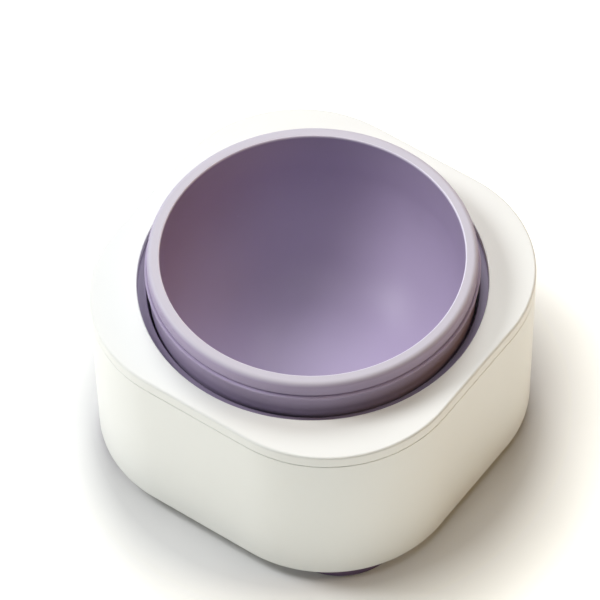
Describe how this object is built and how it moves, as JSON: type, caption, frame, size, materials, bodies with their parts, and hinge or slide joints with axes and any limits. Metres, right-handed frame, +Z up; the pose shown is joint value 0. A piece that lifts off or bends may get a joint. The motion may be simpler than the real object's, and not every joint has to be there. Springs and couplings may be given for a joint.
{
  "type": "yogurt maker",
  "caption": "Rounded-square yogurt maker with a thin cover plate, a round opening and a lift-out bowl that stands in a heated pot, on round feet, with a small push-button panel.",
  "frame": {"origin": "on the ground, under the middle of the bowl and of the casing", "axes": "+Z up, along the bowl's axis; the blank faces look along -Y and +X, the control panel along -X and the power inlet along +Y"},
  "size_m": [0.13, 0.13, 0.0816],
  "materials": {
    "white_plastic": "fine satin",
    "lilac_plastic": "soft satin",
    "lilac_rubber": "matte",
    "clear_rubber": "matte",
    "pot_aluminium": "satin",
    "heater_film": "satin",
    "foam": "matte",
    "frame_plastic": "satin",
    "steel": "satin",
    "brass": "polished",
    "board_green": "solder mask",
    "black_plastic": "satin",
    "core_steel": "satin",
    "sleeve_black": "gloss",
    "relay_blue": "gloss",
    "block_green": "satin",
    "lens_frosted": "frosted",
    "lamp_white": "gloss",
    "lead_grey": "satin"
  },
  "bodies": {
    "base": {"top_cover": "white_plastic", "outer_casing": "white_plastic", "base_plate": "white_plastic", "collar_ring": "lilac_plastic", "collar_gasket": "clear_rubber", "heating_pot": "pot_aluminium", "band_heater": "heater_film", "insulation_sleeve": "foam", "pot_frame": "frame_plastic", "bottom_heater": "pot_aluminium", "temperature_sensor": "brass", "thermal_fuse": "steel", "sensor_bracket": "steel", "heater_nut": "steel", "power_board": "board_green", "transformer": "core_steel", "capacitor": "sleeve_black", "relay": "relay_blue", "terminal_block": "block_green", "control_panel": "lilac_plastic", "indicator_lens": "lens_frosted", "control_board": "board_green", "tact_switches": "black_plastic", "indicator_lamps": "lamp_white", "inlet_socket": "black_plastic", "inlet_pins": "brass", "mains_leads": "lead_grey", "heater_leads": "lead_grey", "control_cable": "lead_grey", "base_screws": "steel", "cover_screws": "steel", "board_screws": "steel", "panel_screws": "steel", "front_left_foot": "lilac_rubber", "front_right_foot": "lilac_rubber", "rear_left_foot": "lilac_rubber", "rear_right_foot": "lilac_rubber"},
    "bowl": {"bowl": "lilac_plastic"},
    "power_button": {"power_button": "white_plastic"},
    "timer_button": {"timer_button": "white_plastic"}
  },
  "joints": [
    {"name": "bowl_lift", "type": "slide", "parent": "base", "child": "bowl", "axis": [0, 0, 1], "range_m": [0, 0.085]},
    {"name": "power_button_press", "type": "slide", "parent": "base", "child": "power_button", "axis": [1, 0, 0], "range_m": [0, 0.001], "stiffness_N_per_m": 400},
    {"name": "timer_button_press", "type": "slide", "parent": "base", "child": "timer_button", "axis": [1, 0, 0], "range_m": [0, 0.001], "stiffness_N_per_m": 400}
  ]
}
